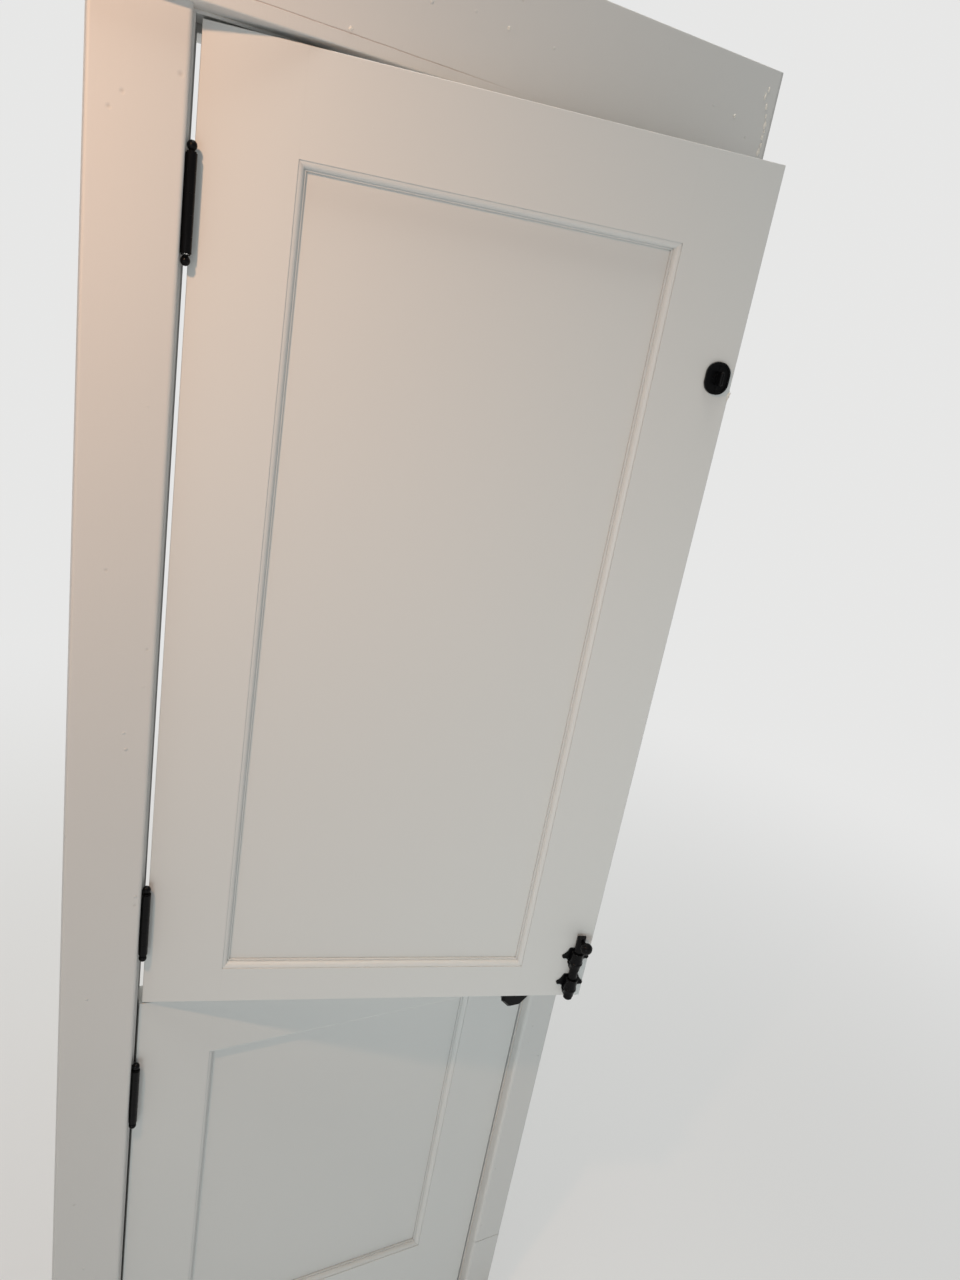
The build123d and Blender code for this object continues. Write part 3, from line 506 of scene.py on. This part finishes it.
hinge_black = black_lacquer("hinge_lacquer", 0.14, 0.00003)
for number in (1, 2, 3, 4):
    put_on(
        hinge_black,
        f"hinge_{number}_frame_plate",
        f"hinge_{number}_leaf_plate",
        f"hinge_{number}_pin",
    )
put_on(hinge_black, "hinge_lower_tips")
put_on(hinge_black, "frame_hinge_screws", "upper_hinge_screws", "lower_hinge_screws")

# Surface bolt: a half-round iron rod that slides in two cast brackets on the upper leaf and drops
# into a keeper on the lower leaf, so that the leaves swing as one. A ball knob moves it.

bolt_black = black_lacquer("bolt_lacquer", 0.20, 0.00008)
put_on(bolt_black, "bolt_lower_bracket", "bolt_upper_bracket", "bolt_bracket_screws")
put_on(bolt_black, "bolt_rod", "bolt_knob", "bolt_keeper", "bolt_keeper_screws")

# Turn-piece: an oval rimmed plate with an upright thumb-piece. Its spindle draws a small round
# bolt in the edge of the leaf, which goes into a plate in the jamb.

turn_black = black_lacquer("turn_lacquer", 0.17, 0.00004)
put_on(turn_black, "turn_plate", "turn_plate_screws", "turn_piece", "edge_bolt_strike")


def dull_steel(name):
    """Plated steel drawn along its length, dulled by handling."""
    steel = Finish(name)
    drawn = steel.noise(0.0006, steel.stretched(0.05, 1.0, 1.0))
    dull = steel.noise(0.012, detail=3.0)
    steel.surface(
        Base_Color=steel.blend(dull, (0.60, 0.59, 0.56), (0.42, 0.40, 0.37)),
        Metallic=1.0,
        Roughness=0.26 + 0.22 * dull + 0.08 * drawn,
        Normal=steel.bump(drawn, 0.00002, steel.eased(0.0003)),
    )
    return steel


plated_steel = dull_steel("plated_steel")
put_on(plated_steel, "edge_bolt", "edge_bolt_case")

# Latch of the lower leaf: a round steel case in the leaf's edge with a sprung tongue, worked by
# octagonal black knobs on a square spindle, one on each face over a turned rosette. The tongue
# goes into a plate in the jamb, screwed on like the edge bolt's.

put_on(turn_black, "strike_screws", "latch_strike")
put_on(plated_steel, "latch_case", "latch_tongue", "latch_hub")
put_on(plated_steel, "latch_face_screws", "knob_spindle")
knob_black = black_lacquer("knob_gloss", 0.07, 0.00001)
put_on(knob_black, "front_knob", "back_knob", "front_rosette", "back_rosette")

# Floor and backdrop: a pale studio floor that runs out into a plain pale surround. Neither is
# part of the door.

surround = (0.80, 0.80, 0.795)
floor_mesh = bpy.data.meshes.new("studio_floor")
sheet = bmesh.new()
bmesh.ops.create_circle(sheet, cap_ends=True, segments=96, radius=14.0)
sheet.to_mesh(floor_mesh)
sheet.free()
studio_floor = bpy.data.objects.new("studio_floor", floor_mesh)
studio_floor.location = (0.3, 0.0, -0.001)
bpy.context.scene.collection.objects.link(studio_floor)
floor_finish = Finish("pale_floor")
from_middle = floor_finish.node(
    "VectorMath", {"operation": "LENGTH"}, {0: floor_finish.here}, output="Value"
)
ground = floor_finish.node(
    "BsdfPrincipled", {}, {"Base Color": (0.77, 0.775, 0.775, 1.0), "Roughness": 0.75}
)
haze = floor_finish.node("Emission", {}, {"Color": (*surround, 1.0), "Strength": 1.0})
floor_shader = floor_finish.node(
    "MixShader", {}, {0: 0.45 + 0.55 * from_middle.above(0.6, 3.8), 1: ground, 2: haze}
)
floor_finish.node("OutputMaterial", {}, {"Surface": floor_shader})
floor_mesh.materials.append(floor_finish.material)

world = bpy.data.worlds.new("surround")
bpy.context.scene.world = world
sky = Finish("surround", world)
seen = sky.node("LightPath", output="Is Camera Ray")
mirrored = sky.node("LightPath", output="Is Glossy Ray")
backdrop = sky.node("Background", {}, {"Color": (*surround, 1.0), "Strength": 1.0})
ambient = sky.node("Background", {}, {"Color": (0.88, 0.98, 1.0, 1.0), "Strength": 0.18})
sky_shader = sky.node("MixShader", {}, {0: seen + 0.35 * mirrored, 1: ambient, 2: backdrop})
sky.node("OutputWorld", {}, {"Surface": sky_shader})

# Lights: a small warm lamp high on the left, close to the casing, and a broad cool one in front
# on the left. A glow from the ceiling catches the mouldings, and a soft lamp fills the back.


def hang(light, place, target, watts, color):
    """Hangs a lamp at its place and turns it towards its target."""
    light.energy = watts
    light.color = color
    holder = bpy.data.objects.new(light.name, light)
    holder.location = place
    holder.rotation_mode = "QUATERNION"
    holder.rotation_quaternion = (Vector(target) - Vector(place)).to_track_quat("-Z", "Y")
    bpy.context.scene.collection.objects.link(holder)


def soft_lamp(name, place, target, size, watts, color):
    """A round sheet of light, size metres across."""
    light = bpy.data.lights.new(name, "AREA")
    light.shape = "DISK"
    light.size = size
    hang(light, place, target, watts, color)


def spot(name, place, target, size, watts, color, cone):
    """A lamp whose light fades out towards the edge of its cone, an angle in radians."""
    light = bpy.data.lights.new(name, "SPOT")
    light.shadow_soft_size = size
    light.spot_size = cone
    light.spot_blend = 1.0
    hang(light, place, target, watts, color)


soft_lamp("back_fill", (0.8, 3.8, 2.6), (0.3, 0.0, 1.1), 2.4, 66.0, (1.0, 0.96, 0.88))
soft_lamp("ceiling_glow", (0.35, -0.45, 4.7), (0.35, -0.3, 0.0), 1.3, 46.0, (1.0, 0.97, 0.92))
spot("warm_lamp", (-0.47, -0.65, 2.39), (-0.71, 0, 1.35), 0.035, 37.0, (1.0, 0.59, 0.36), 3.14)
spot("cool_window", (-1.2, -2.6, 1.3), (3.5, 0, 0.02), 0.45, 140.0, (0.88, 0.98, 1.0), 1.66)

# Camera: eye height, close in front of the hinge side, looking down to the right with a slight
# tilt. Its lens and place come from the perspective of the photograph's edges.

camera_data = bpy.data.cameras.new("camera")
camera_data.lens = 25.51
camera_data.sensor_width = 36.0
camera_data.sensor_fit = "AUTO"
camera_data.clip_start = 0.02
camera_data.clip_end = 60.0
camera = bpy.data.objects.new("camera", camera_data)
across = Vector((0.87773, -0.44869, 0.1681))
down = Vector((-0.00474, -0.35895, -0.93335))
ahead = Vector((0.47912, 0.81843, -0.31718))
turn = Matrix((across, -down, -ahead)).transposed().to_4x4()
camera.matrix_world = Matrix.Translation((-0.1528, -0.9973, 1.8188)) @ turn
bpy.context.scene.collection.objects.link(camera)
bpy.context.scene.camera = camera
bpy.context.scene.view_settings.view_transform = "Standard"
